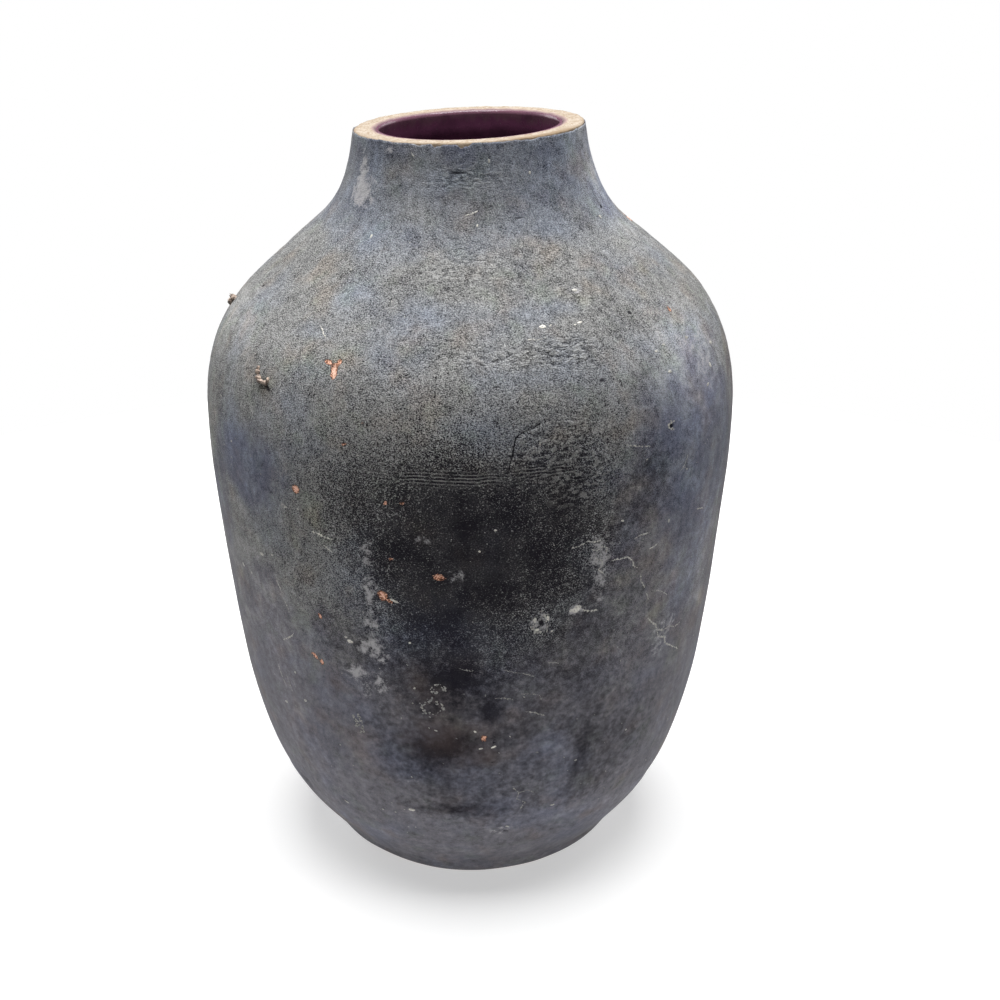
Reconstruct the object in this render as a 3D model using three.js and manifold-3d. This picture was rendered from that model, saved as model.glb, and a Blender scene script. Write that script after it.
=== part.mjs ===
// A thick-walled clay jar, built in sections as a potter builds it: a slab base, a lower and an upper
// wall and a lip coil, each luted to the next with slip, then coated outside and glazed inside.
// Millimetres. +Z is up, the foot stands on z = 0, and the jar's axis is x = y = 0.

import * as THREE from 'three';
import { mergeVertices } from 'three/addons/utils/BufferGeometryUtils.js';
import Module from 'manifold-3d';

// Driving dimensions.
const HEIGHT = 370;
const COAT = 0.9; // thickness of the dark slip outside
const WALL = 10.7; // from the outside of the coat to the inside of the clay
const GLAZE = 0.8; // thickness of the lining
const GAP = 0.15; // left between neighbouring pieces
const MOUTH_LEAN = THREE.MathUtils.degToRad(2.2); // the mouth rises towards +X

const SEGMENTS = 40; // facets around the jar
const LUTE = 1.2; // thickness of each slip joint
const BEVEL = 6; // how much higher a section's joint is inside than outside
const COAT_FOOT = 2; // the coat stops this far above the ground
const GLAZE_STOP = 2; // the lining stops this far below the lip

// Heights of the three joints, seen from outside.
const BASE_SEAM = 10;
const BELLY_SEAM = 244;
const NECK_SEAM = 356;

// The mouth leans out of level between these heights, and is flat above them.
const LEAN_START = 322;
const LEAN_END = 350;

// The outside of the coat, as radius and height.
const OUTLINE = [
  [70.4, 0],
  [75.6, 5],
  [81.6, 14],
  [96, 34],
  [109, 62],
  [119, 105],
  [127, 180],
  [130, 237],
  [125.3, 268],
  [112, 292],
  [88.3, 314],
  [69, 331],
  [59.3, 348],
  [55, HEIGHT],
];

// Heights at which each wall section's surfaces have a ring of corners.
const LOWER_RINGS = [24, 42, 66, 100, 145, 200];
const UPPER_RINGS = [260, 274, 287, 300, 314, 328, 343];

const COLOURS = {
  clay: 0xb98a74,
  lipClay: 0xddcdbd,
  slip: 0x9c8373,
  coat: 0x46474a,
  glaze: 0x45303b,
  sand: 0xb9a99a,
};

// How fast the outline's radius grows with height at one of its corners.
function cornerLean(index) {
  const before = OUTLINE[Math.max(index - 1, 0)];
  const after = OUTLINE[index + 1];
  if (!after) return 0; // the neck ends upright at the lip
  return (after[0] - before[0]) / (after[1] - before[1]);
}

// Radius of the outside of the coat, as a smooth curve through the outline's corners.
function outerRadius(height) {
  const next = OUTLINE.findIndex((corner) => corner[1] > height);
  if (next < 0) return OUTLINE.at(-1)[0];
  const [r0, z0] = OUTLINE[next - 1];
  const [r1, z1] = OUTLINE[next];
  const span = z1 - z0;
  const t = (height - z0) / span;
  const start = cornerLean(next - 1) * span;
  const end = cornerLean(next) * span;
  const ease = t * t * (3 - 2 * t);
  return r0 + (r1 - r0) * ease + start * t * (1 - t) * (1 - t) - end * t * t * (1 - t);
}

// A point in the jar's section: the given depth into the wall, square to the outline at that height.
// The foot and the lip are cut level.
function inWall(height, depth) {
  const step = 0.5;
  const level = height <= 0 || height >= HEIGHT;
  const lean = level ? 0 : (outerRadius(height + step) - outerRadius(height - step)) / (2 * step);
  const length = Math.hypot(1, lean);
  return new THREE.Vector2(outerRadius(height) - depth / length, height + (depth * lean) / length);
}

function layer(heights, depth) {
  return heights.map((height) => inWall(height, depth));
}

function onAxis(height) {
  return new THREE.Vector2(0, height);
}

// The heights of a joint's two faces, which the slip of the joint parts.
function faces(seam) {
  return [seam - LUTE / 2, seam + LUTE / 2];
}

const CLAY_OUTSIDE = COAT + GAP;
const SEAMS = [BASE_SEAM, BELLY_SEAM, NECK_SEAM];
const INNER_SEAMS = [BASE_SEAM, BELLY_SEAM + BEVEL, NECK_SEAM + BEVEL / 2];
const FLOOR = inWall(BASE_SEAM - LUTE / 2, WALL);

// Every ring of corners between the foot and the lip, for joints at the given heights.
function rings(seams) {
  const [base, belly, neck] = seams.map(faces);
  return [...base, ...LOWER_RINGS, ...belly, ...UPPER_RINGS, ...neck];
}

// Carries the jar's points from a straight jar to one whose mouth leans.
function leanMouth(geometry) {
  const position = geometry.getAttribute('position');
  for (let i = 0; i < position.count; i += 1) {
    const share = THREE.MathUtils.smoothstep(position.getZ(i), LEAN_START, LEAN_END);
    position.setZ(i, position.getZ(i) + position.getX(i) * Math.tan(MOUTH_LEAN) * share);
  }
  geometry.computeVertexNormals();
  return geometry;
}

// Turns a section, listed up the outside and down the inside, about the jar's axis.
function turned(section) {
  const geometry = new THREE.LatheGeometry(section, SEGMENTS);
  geometry.rotateX(Math.PI / 2);
  return leanMouth(geometry);
}

function turnedRing(outside, inside) {
  return turned([...outside, ...inside, outside[0]]);
}

function piece(name, geometry, colour, roughness) {
  const material = new THREE.MeshStandardMaterial({ color: colour, roughness, metalness: 0 });
  const mesh = new THREE.Mesh(geometry, material);
  mesh.name = name;
  return mesh;
}

function baseSlab() {
  const [seam] = faces(BASE_SEAM);
  const edge = layer([0, COAT_FOOT, seam], CLAY_OUTSIDE);
  const geometry = turned([onAxis(0), ...edge, FLOOR, onAxis(FLOOR.y)]);
  return piece('base_slab', geometry, COLOURS.clay, 0.9);
}

// A wall section between two joints. Each joint is given by its place in SEAMS.
function wall(name, below, above, heights) {
  const outside = [faces(SEAMS[below])[1], ...heights, faces(SEAMS[above])[0]];
  const inside = [faces(INNER_SEAMS[below])[1], ...heights, faces(INNER_SEAMS[above])[0]];
  const geometry = turnedRing(layer(outside, CLAY_OUTSIDE), layer(inside, WALL).reverse());
  return piece(name, geometry, COLOURS.clay, 0.9);
}

function rimCoil() {
  const outside = layer([faces(NECK_SEAM)[1], HEIGHT], CLAY_OUTSIDE);
  const inside = layer([HEIGHT, faces(INNER_SEAMS[2])[1]], WALL);
  return piece('rim_coil', turnedRing(outside, inside), COLOURS.lipClay, 0.85);
}

function lute(name, index) {
  const [outerBottom, outerTop] = faces(SEAMS[index]);
  const [innerBottom, innerTop] = faces(INNER_SEAMS[index]);
  const outside = layer([outerBottom + GAP, outerTop - GAP], CLAY_OUTSIDE);
  const inside = layer([innerTop - GAP, innerBottom + GAP], WALL);
  return piece(name, turnedRing(outside, inside), COLOURS.slip, 0.9);
}

function outerSlip() {
  const heights = [COAT_FOOT, ...rings(SEAMS), HEIGHT];
  const geometry = turnedRing(layer(heights, 0), layer(heights, COAT).reverse());
  return piece('outer_slip', geometry, COLOURS.coat, 0.75);
}

function innerGlaze() {
  const stop = HEIGHT - GLAZE_STOP;
  const heights = [...rings(INNER_SEAMS), stop];
  const floor = FLOOR.y + GAP;
  const backing = [onAxis(floor), ...layer(heights, WALL + GAP)];
  const floorEdge = new THREE.Vector2(FLOOR.x - 2 * GLAZE, floor + GLAZE);
  const face = [onAxis(floor + GLAZE), floorEdge, ...layer(heights.slice(2), WALL + GAP + GLAZE)];
  const geometry = turned([...backing, ...face.reverse()]);
  return piece('inner_glaze', geometry, COLOURS.glaze, 0.25);
}

function toManifold(library, geometry) {
  const plain = new THREE.BufferGeometry();
  plain.setAttribute('position', geometry.getAttribute('position'));
  plain.setIndex(geometry.getIndex());
  const merged = mergeVertices(plain, 1e-4);
  const triangles = merged.getIndex().array;
  const whole = [];
  for (let i = 0; i < triangles.length; i += 3) {
    const [a, b, c] = triangles.slice(i, i + 3);
    if (a !== b && b !== c && c !== a) whole.push(a, b, c);
  }
  const vertProperties = Float32Array.from(merged.getAttribute('position').array);
  const mesh = new library.Mesh({ numProp: 3, vertProperties, triVerts: Uint32Array.from(whole) });
  return new library.Manifold(mesh);
}

// A crumb of kiln sand stuck to the coat: a lump with the jar itself cut out of it, so that it
// sits exactly on the coat. The azimuth is measured from -Y towards +X.
function kilnCrumb(library, jar, name, { azimuth, height, size, standing }) {
  const angle = THREE.MathUtils.degToRad(azimuth);
  const radius = outerRadius(height) + standing;
  const lump = new THREE.IcosahedronGeometry(1, 1);
  lump.scale(size[1], size[0], size[2]);
  lump.rotateZ(angle - Math.PI / 2);
  lump.translate(radius * Math.sin(angle), -radius * Math.cos(angle), height);
  const cut = toManifold(library, lump).subtract(jar).getMesh();
  const geometry = new THREE.BufferGeometry();
  geometry.setAttribute('position', new THREE.BufferAttribute(cut.vertProperties, 3));
  geometry.setIndex(new THREE.BufferAttribute(cut.triVerts, 1));
  geometry.computeVertexNormals();
  return piece(name, geometry, COLOURS.sand, 0.9);
}

const CRUMBS = {
  kiln_crumb_shoulder: { azimuth: -89, height: 287, size: [2.4, 2.8, 2.2], standing: 0 },
  kiln_crumb_belly: { azimuth: -48, height: 273, size: [4.2, 2.6, 2.2], standing: 0 },
};

const library = await Module();
library.setup();

const jar = new THREE.Group();
jar.add(baseSlab());
jar.add(wall('lower_wall', 0, 1, LOWER_RINGS));
jar.add(wall('upper_wall', 1, 2, UPPER_RINGS));
jar.add(rimCoil());
jar.add(lute('base_lute', 0));
jar.add(lute('belly_lute', 1));
jar.add(lute('neck_lute', 2));
jar.add(outerSlip());
jar.add(innerGlaze());

const envelope = layer([0, COAT_FOOT, ...rings(SEAMS), HEIGHT], -GAP);
const solidJar = toManifold(library, turned([onAxis(0), ...envelope, onAxis(HEIGHT)]));
for (const [name, crumb] of Object.entries(CRUMBS)) {
  jar.add(kilnCrumb(library, solidJar, name, crumb));
}

export default jar;
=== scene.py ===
import itertools
import math

import bpy
import numpy as np
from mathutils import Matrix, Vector


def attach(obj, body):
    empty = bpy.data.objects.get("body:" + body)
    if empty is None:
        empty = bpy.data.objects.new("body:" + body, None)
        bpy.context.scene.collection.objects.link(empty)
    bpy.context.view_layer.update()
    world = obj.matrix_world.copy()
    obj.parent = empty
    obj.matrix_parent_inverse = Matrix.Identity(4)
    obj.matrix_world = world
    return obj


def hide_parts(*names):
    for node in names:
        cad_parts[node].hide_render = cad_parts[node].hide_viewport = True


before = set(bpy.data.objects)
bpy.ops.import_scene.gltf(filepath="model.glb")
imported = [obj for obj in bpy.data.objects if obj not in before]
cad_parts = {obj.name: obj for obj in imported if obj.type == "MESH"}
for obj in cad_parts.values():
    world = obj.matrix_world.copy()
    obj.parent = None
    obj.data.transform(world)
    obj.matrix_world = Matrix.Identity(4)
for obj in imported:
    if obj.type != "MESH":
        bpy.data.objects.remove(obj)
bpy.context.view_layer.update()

# A thick-walled clay jar: its coat, walls, lip and lining are rebuilt finely on the CAD's own outline.
# Lengths are millimetres until a mesh is made. An azimuth is in degrees, 0 at -Y and 90 at +X.

MM = 0.001

# Driving dimensions, as in the CAD but for the mouth's nod and lift.
HEIGHT = 370.0
COAT = 0.9
WALL = 10.7
GLAZE = 0.8
GAP = 0.15
LUTE = 1.2
BEVEL = 6.0
BASE_SEAM = 10.0
BELLY_SEAM = 244.0
NECK_SEAM = 356.0
SHOULDER_TURN = 286.0
MOUTH_RISE = math.tan(math.radians(2.2))
MOUTH_NOD = math.tan(math.radians(0.5))  # the front of the mouth stands a little high as well
MOUTH_LIFT = 0.45  # and so does all of it
LEAN_START = 322.0
LEAN_END = 350.0
OUTLINE_RADII = np.array([70.4, 75.6, 81.6, 96, 109, 119, 127, 130, 125.3, 112, 88.3, 69, 59.3, 55])
OUTLINE_HEIGHTS = np.array([0, 5, 14, 34, 62, 105, 180, 237, 268, 292, 314, 331, 348, HEIGHT])

# Fineness of the meshes.
AROUND = 800
INSIDE_AROUND = 480
HIDDEN_AROUND = 160
ROW_STEP = 0.95
INNER_SKIP = 8  # the coat's hidden side has one row for this many outside


def smoothstep(low, high, value):
    share = np.clip((value - low) / (high - low), 0, 1)
    return share * share * (3 - 2 * share)


NOISE_REACH = 1.7  # brings the noise below to about -1 to 1


def noise(points, size, seed):
    """Smooth noise, about -1 to 1, at points in space, with bumps about size apart."""
    rng = np.random.default_rng(seed)
    table = np.tile(rng.permutation(256), 2)
    slopes = rng.normal(size=(256, 3))
    slopes /= np.linalg.norm(slopes, axis=1, keepdims=True)
    cell = np.floor(points / size).astype(int)
    inside = points / size - cell
    ease = inside**3 * (inside * (inside * 6 - 15) + 10)
    total = np.zeros(points.shape[:-1])
    for corner in itertools.product((0, 1), repeat=3):
        x, y, z = np.moveaxis((cell + corner) & 255, -1, 0)
        slope = slopes[table[table[table[x] + y] + z]]
        weight = np.prod(np.where(corner, ease, 1 - ease), axis=-1)
        total += weight * np.sum(slope * (inside - corner), axis=-1)
    return total * NOISE_REACH


def fractal(points, size, seed, octaves=3):
    """Noise summed over octaves, each half as large and half as strong as the last."""
    layers = [noise(points, size / 2**k, seed + k) / 2**k for k in range(octaves)]
    return sum(layers) / 1.5


# --- the jar's shape ---------------------------------------------------------------------------


def outline_slopes():
    """How fast the radius grows with height at each corner of the outline."""
    slopes = np.zeros(len(OUTLINE_RADII))
    slopes[1:-1] = (OUTLINE_RADII[2:] - OUTLINE_RADII[:-2]) / (OUTLINE_HEIGHTS[2:] - OUTLINE_HEIGHTS[:-2])
    slopes[0] = (OUTLINE_RADII[1] - OUTLINE_RADII[0]) / OUTLINE_HEIGHTS[1]
    return slopes


CORNER_SLOPES = outline_slopes()


def outer_radius(height):
    """Radius of the outside of the coat: a smooth curve through the outline's corners."""
    height = np.clip(height, 0, HEIGHT)
    low = np.clip(np.searchsorted(OUTLINE_HEIGHTS, height, side="right") - 1, 0, len(OUTLINE_RADII) - 2)
    high = low + 1
    span = OUTLINE_HEIGHTS[high] - OUTLINE_HEIGHTS[low]
    t = (height - OUTLINE_HEIGHTS[low]) / span
    ease = t * t * (3 - 2 * t)
    rise = CORNER_SLOPES[low] * span * t * (1 - t) ** 2 - CORNER_SLOPES[high] * span * t * t * (1 - t)
    return OUTLINE_RADII[low] + (OUTLINE_RADII[high] - OUTLINE_RADII[low]) * ease + rise


def outer_lean(height):
    """Slope of the outline, nothing at the foot and the lip, which are cut level."""
    step = 0.5
    slope = (outer_radius(height + step) - outer_radius(height - step)) / (2 * step)
    return np.where((height <= 0) | (height >= HEIGHT), 0, slope)


HEIGHT_STEPS = np.linspace(0, HEIGHT, 1481)
STEP_LENGTHS = np.hypot(np.diff(HEIGHT_STEPS), np.diff(outer_radius(HEIGHT_STEPS)))
ARC_STEPS = np.concatenate([[0], np.cumsum(STEP_LENGTHS)])


def arc_at(height):
    """Distance up the outside from the foot to a height."""
    return np.interp(height, HEIGHT_STEPS, ARC_STEPS)


def even_heights(low, high, step):
    """Heights evenly spaced along the outside."""
    count = max(int(round((arc_at(high) - arc_at(low)) / step)), 1)
    return np.interp(np.linspace(arc_at(low), arc_at(high), count + 1), ARC_STEPS, HEIGHT_STEPS)


def lay(azimuth, radius, z):
    """Points at an azimuth, a radius and a height, as an array of x, y and z, with the mouth leaning."""
    angle = np.radians(azimuth)
    x = radius * np.sin(angle)
    y = -radius * np.cos(angle)
    z = z + (MOUTH_LIFT + x * MOUTH_RISE - y * MOUTH_NOD) * smoothstep(LEAN_START, LEAN_END, z)
    return np.stack(np.broadcast_arrays(x, y, z), axis=-1)


def place(azimuth, height, depth):
    """Points in the jar's wall, the given depth in from the outside and square to it."""
    lean = outer_lean(height)
    length = np.hypot(1, lean)
    return lay(azimuth, outer_radius(height) - depth / length, height + depth * lean / length)


def turn_from(azimuth, start):
    """Degrees round from one azimuth to another, the short way."""
    return (azimuth - start + 180) % 360 - 180


def spot(azimuth, height, centre, wide, tall, turn=0):
    """A soft spot on the coat: 1 in the middle, and 0.37 at the ends of its width and its tallness."""
    across = np.radians(turn_from(azimuth, centre[0])) * outer_radius(centre[1])
    up = arc_at(height) - arc_at(centre[1])
    angle = math.radians(turn)
    along = across * math.cos(angle) + up * math.sin(angle)
    beside = up * math.cos(angle) - across * math.sin(angle)
    return np.exp(-((2 * along / wide) ** 2) - (2 * beside / tall) ** 2)


def spots(azimuth, height, rows):
    """Spots added up, each given by its azimuth, height, width, tallness, strength and turn."""
    total = np.zeros(np.broadcast(azimuth, height).shape)
    for at, level, wide, tall, strength, *turn in rows:
        total += strength * spot(azimuth, height, (at, level), wide, tall, *turn)
    return total


def front(azimuth, edge=75):
    """1 on the front of the jar and 0 behind."""
    return 1 - smoothstep(edge - 15, edge + 15, np.abs(turn_from(azimuth, 0)))


# --- what has happened to the coat ---------------------------------------------------------------
# Spots are azimuth, height, width, tallness, strength and, for a slanted one, turn.

SAND_EDGE_AZIMUTHS = (-180, -110, -75, -62, -42, -36, -24, -8, 10, 20, 26, 34, 60, 80, 110, 180)
SAND_EDGE_HEIGHTS = (225, 245, 230, 190, 176, 172, 170, 165, 160, 172, 215, 268, 278, 262, 240, 225)
DUSTY = (
    (26, 202, 22, 34, 0.8),
    (14, 171, 18, 18, 0.7),
    (2, 256, 150, 60, 0.8),
)
SMOOTH = (
    (-51, 229, 46, 40, 1.3),
    (-66, 205, 20, 70, 0.6),
    (50, 236, 90, 90, 0.5),
)
COOL = (
    (-51, 229, 50, 42, 1),
    (50, 236, 90, 90, 0.9),
    (-13.7, 306, 36, 22, 0.5),
    (3, 307, 30, 18, 0.4),
    (-10, 292, 36, 14, 0.4),
    (12, 283, 46, 13, 0.5),
    (23, 306, 22, 10, 0.7),
    (0, 264, 44, 16, 0.5),
    (-32, 311, 24, 14, 0.7),
    (-41, 294, 30, 14, 0.6),
    (-37, 282, 26, 12, 0.5),
    (-60, 250, 20, 30, 0.6),
    (-5, 163, 70, 26, 0.8),
    (-28, 190, 44, 34, 0.5),
    (-5, 88, 80, 22, 0.5),
    (22, 78, 34, 60, 0.4),
)

# Soot spots; the broad dark middle of the front is partly painted shade.
SOOT_AND_SHADE_SPOTS = (
    (-4, 218, 100, 66, 0.79),
    (12, 188, 96, 96, 0.3),
    (26, 230, 70, 50, 0.1),
    (46, 165, 30, 60, 0.12),
    (-14, 148, 50, 50, 0.05),
    (-3, 194, 70, 50, 0.18),
    (-6, 164, 88, 62, 0.46),
    (-10, 134, 54, 26, 0.09),
    (-9, 178, 34, 18, 0.08),
    (-16, 187, 22, 34, 0.12),
    (1, 198, 26, 20, 0.08),
    (23, 218, 20, 18, 0.12),
    (35, 168, 18, 50, 0.12),
    (0, 243, 90, 30, 0.4),
    (17, 252, 40, 16, 0.2),
    (36, 236, 26, 50, 0.25),
    (26, 176, 50, 80, 0.15),
    (14, 104, 110, 70, 0.08),
    (20, 68, 90, 36, 0.2),
    (-6, 62, 70, 34, 0.16),
    (6, 128, 110, 54, 0.2),
    (-8, 100, 80, 54, 0.34),
    (20, 236, 44, 50, 0.2),
    (20, 190, 34, 60, 0.12),
    (-26, 225, 50, 60, 0.2),
    (34, 100, 60, 70, 0.3),
    (48, 232, 70, 60, 0.14),
    (-50, 228, 44, 36, 0.18),
    (-30, 160, 40, 60, 0.2),
    (-4.6, 143, 16, 8, 0.3),
    (4, 124, 8, 10, 0.4),
    (-7, 104, 30, 16, 0.25, 12),
    (-9, 88, 18, 26, 0.14),
    (-5, 63, 34, 10, 0.35),
    (26, 92, 9, 34, 0.25, -10),
    (42, 355, 12, 18, 0.2, 10),
)
PALE_HAZE = (
    (-54, 346, 20, 14, 1.15, 10),
    (-57, 357, 8, 18, 0.9),
    (-40.5, 365.5, 8, 4, 0.8),
    (52, 288, 100, 34, 0.28),
    (-22, 156, 17, 10, 0.95),
    (-21, 169, 9, 10, 0.8),
    (-26, 141, 11, 10, 0.9),
    (-19.5, 150, 8, 8, 0.5),
    (-20, 137, 9, 12, 0.8),
    (-23.7, 131, 5, 12, 0.7),
    (-21, 205, 7, 16, 0.8),
    (-21, 185, 8, 17, 0.95),
    (-9.5, 214, 10, 7, 0.55),
    (-14.4, 223.6, 5, 5, 0.6),
    (-3, 196.5, 12, 8, 0.6),
    (26, 202, 14, 26, 0.65, -12),
    (26.5, 184, 8, 24, 0.55),
    (14, 171, 11, 14, 0.75),
    (21.7, 175, 8, 7, 1.3),
    (46.5, 145, 22, 34, 0.5, -35),
    (-15, 82, 34, 22, 0.25),
    (7, 47, 15, 10, 0.5),
    (-45, 265, 60, 60, 0.12),
    (62, 268, 50, 40, 0.3),
    (30, 311, 7, 4, 1.0),
    (-60, 190, 40, 100, 0.1),
)
TONE = (
    (-45, 66, 50, 70, 0.2),
    (52, 36, 50, 50, 0.15),
    (78, 348, 40, 60, 0.75),
    (55, 274, 56, 50, 0.9),
    (-51, 146, 32, 76, 0.42),
    (60, 178, 30, 64, 0.35),
    (47, 178, 14, 40, 0.2),
    (-66, 217, 26, 40, -0.15),
    (-36, 254, 24, 16, 0.15),
    (-35, 312, 24, 16, 0.12),
    (-48, 357, 14, 20, 0.15),
    (-75, 288, 50, 44, 0.28),
    (62, 215, 14, 50, -0.15),
    (-45, 262, 60, 40, 0.12),
    (-10, 270, 60, 20, 0.08),
    (-5, 316, 60, 20, -0.08),
    (-22, 345, 20, 30, 0.12),
)
CLAY_CHIPS = (
    (-31.6, 285.6, 4.2, 2, 1.2, -10),
    (-29.8, 283.4, 3.4, 4.4, 1.2),
    (-29.4, 281, 2.4, 3.2, 1.1),
    (-28.9, 286.4, 2, 2.6, 1),
    (-36.7, 228.5, 3.6, 3.4, 1.3),
    (-6.4, 196, 5.4, 2.8, 1.2, -5),
    (-18.3, 184, 4.6, 4.6, 1.1),
    (-16.5, 181.6, 3, 1.8, 0.9),
    (-36.4, 142.6, 4.6, 1.6, 1.3, -30),
    (-34.6, 140.4, 1.8, 2.6, 1.2),
    (2.3, 109.3, 2.6, 3.6, 0.95),
    (-25, 254, 2.4, 1.6, 0.85),
    (-21.4, 264, 1.8, 2.4, 0.75),
    (-16.6, 230, 2, 2, 0.8),
    (-13.3, 230.4, 2, 1.6, 0.8),
    (-33.6, 166, 2.4, 3, 0.7, 30),
    (55.6, 296.5, 2.4, 3.6, 0.75),
    (-16, 203, 1.8, 1.6, 0.8),
)
PITS = (
    (-72.5, 302, 3, 2, 0.9),
    (-72, 305, 2.4, 1.4, 0.7),
    (-67.6, 302, 3, 2, 0.5),
    (-76, 297.5, 3, 2, 0.5),
    (-42.6, 301, 2.4, 1.6, 0.6),
    (42, 300, 3.4, 2, 0.9, -35),
    (35.6, 293, 4, 2, 0.6),
    (27.8, 279, 5, 2, 0.8),
    (43.8, 253, 3, 2.4, 1.1),
    (67, 335, 3, 2, 1),
    (-17, 337, 5, 1.4, 0.5),
    (-4.5, 357.3, 10, 0.9, 0.9),
    (-5, 331.5, 7, 1.4, 0.6),
    (20, 338, 7, 1.4, 0.7),
    (4.4, 94.8, 4, 3, 0.6),
    (14, 171, 2.4, 3.6, 1.1),
    (-46, 269.5, 7, 2.2, 0.9, -30),
    (-29.8, 271, 4, 1.4, 0.3),
    (8.5, 46, 5, 4, 0.6),
    (-18, 256, 4, 3, 0.6),
    (-30, 233, 5, 2, 0.6, 25),
    (0.6, 109, 2, 5, 0.6),
    (4.6, 107, 2.4, 6, 0.7),
)
STAINS = (
    (-7, 108, 44, 30, 0.7),
    (-31.6, 130, 12, 22, 0.5),
    (-12, 140, 26, 34, 0.4),
    (2, 15, 34, 14, 0.45),
    (3, 96, 14, 12, 0.6),
    (-6, 62, 50, 12, 0.35),
    (-4, 348, 16, 8, 0.35),
    (-10, 300, 10, 8, 0.3),
    (9, 316, 9, 9, 0.35),
)
WRINKLES = (
    (22, 291, 30, 14, 1.1),
    (17, 254, 44, 32, 1.4),
    (4, 291, 50, 12, 0.8),
    (-2, 320, 46, 26, 0.8),
    (0, 355, 40, 14, 0.7),
    (22, 238, 26, 24, 1.1),
    (30, 308, 30, 24, 0.6),
    (-10, 245, 70, 14, 0.5),
)
TRIM_AZIMUTHS = (-180, 0, 8, 27, 46, 62, 180)
TRIM_HEIGHTS = (40, 52, 53.5, 53.5, 47, 40, 40)
DENTS = (
    (-56, 47, 10, 5, 1.0),
    (-36, 9, 12, 5, 0.6),
    (46, 12, 10, 4, 0.5),
)
CRACK = ((13.6, 265.6), (12.4, 263.8), (10.1, 262.3), (8.6, 260.2), (8.2, 256.5), (7.7, 252), (6.9, 244.5))
CRACK_CLEAR = 8  # millimetres at which the crack no longer shows
SCORES = ((-5, 242.8, 52, 6, 1.1), (15, 245, 22, 4.5, 0.9, -5))


def above_trim(azimuth, height):
    """Millimetres above the line down to which the foot was trimmed."""
    return height - np.interp(turn_from(azimuth, 0), TRIM_AZIMUTHS, TRIM_HEIGHTS)


def behind_noise(azimuth, height, seed):
    """Broad noise behind the jar, where the front's own lists don't reach."""
    points = place(azimuth, height, 0)
    return (1 - front(azimuth)) * fractal(points, 60, seed)


def sandiness(azimuth, height):
    """How much sand stands out of the slip: above a ragged edge, and least on the neck and the foot."""
    points = place(azimuth, height, 0)
    edge = np.interp(turn_from(azimuth, 0), SAND_EDGE_AZIMUTHS, SAND_EDGE_HEIGHTS)
    edge = edge + 16 * fractal(points, 34, 21)
    dusty = spots(azimuth, height, DUSTY)
    neck = 1 - 0.35 * smoothstep(322, 346, height)
    smooth = spots(azimuth, height, SMOOTH) + 0.3 * coolness(azimuth, height)
    sand = np.clip((smoothstep(edge - 22, edge + 22, height) * neck + dusty) * (1 - smooth), 0, 1.7)
    return sand - 0.4 * smoothstep(160, 105, height)


def tone(azimuth, height):
    """How much paler the slip is than elsewhere, as a share: with painted light on the turn of the shoulder
    and a painted highlight along the trimmed edge.
    """
    points = place(azimuth, height, 0)
    # Painted light on the turn of the shoulder, standing in for shading there.
    painted_shoulder_light = 0.17 * np.exp(-(((height - SHOULDER_TURN) / 9) ** 2)) * (1 + 0.4 * fractal(points, 40, 27))
    # Painted highlight along the edge to which the foot was trimmed.
    painted_ridge_highlight = 0.22 * np.exp(-((above_trim(azimuth, height) / 2.6) ** 2)) * spot(azimuth, 50, (38, 50), 90, 40)
    return spots(azimuth, height, TONE) + painted_shoulder_light + painted_ridge_highlight + 0.1 * fractal(points, 50, 28)


def coolness(azimuth, height):
    """Where the slip turns bluish."""
    drifts = 0.7 * fractal(place(azimuth, height, 0), 30, 23)
    neck = 0.6 * smoothstep(318, 334, height)
    return np.clip(spots(azimuth, height, COOL) + neck + drifts, 0, 1)


def soot_and_shade_amount(azimuth, height):
    """How sooty the slip is: spot by spot on the front, where the broad dark middle is partly painted shade,
    and in a broad band behind.
    """
    band = smoothstep(60, 130, height) * smoothstep(270, 215, height)
    behind = np.clip(0.34 * (1 - front(azimuth)) + 0.6 * behind_noise(azimuth, height, 31), 0, 1) * band
    return spots(azimuth, height, SOOT_AND_SHADE_SPOTS) + behind + 0.12 * fractal(place(azimuth, height, 0), 26, 33)


def haze(azimuth, height):
    behind = np.clip(behind_noise(azimuth, height, 41) * 1.6 - 0.4, 0, 0.8)
    return spots(azimuth, height, PALE_HAZE) + behind


def chipping(azimuth, height):
    points = place(azimuth, height, 0)
    behind = (1 - front(azimuth, 90)) * smoothstep(0.78, 0.95, noise(points, 15, 43))
    return spots(azimuth, height, CLAY_CHIPS) + behind


def pitting(azimuth, height):
    points = place(azimuth, height, 0)
    behind = (1 - front(azimuth)) * smoothstep(0.84, 1.0, noise(points, 8, 44))
    return spots(azimuth, height, PITS) + behind


def wrinkling(azimuth, height):
    behind = (1 - front(azimuth)) * smoothstep(0.2, 0.5, noise(place(azimuth, height, 0), 55, 45))
    return np.clip(spots(azimuth, height, WRINKLES) + 0.6 * behind * smoothstep(230, 260, height), 0, 1)


def scoring(azimuth, height):
    return np.clip(spots(azimuth, height, SCORES), 0, 1)


def crack_side(azimuth, height):
    """Millimetres from the upright crack, less on its left, and a large number past its ends."""
    path = np.array(CRACK)
    here = np.interp(height, path[::-1, 1], path[::-1, 0])
    lean = np.interp(height, (250, 262, 266), (1, 1.5, 2.4))
    aside = np.radians(azimuth - here) * outer_radius(height) / lean
    past = np.maximum(height - path[0, 1], path[-1, 1] - height)
    return aside + CRACK_CLEAR * np.clip(past, 0, 1) * np.where(aside < 0, -1, 1)


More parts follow.
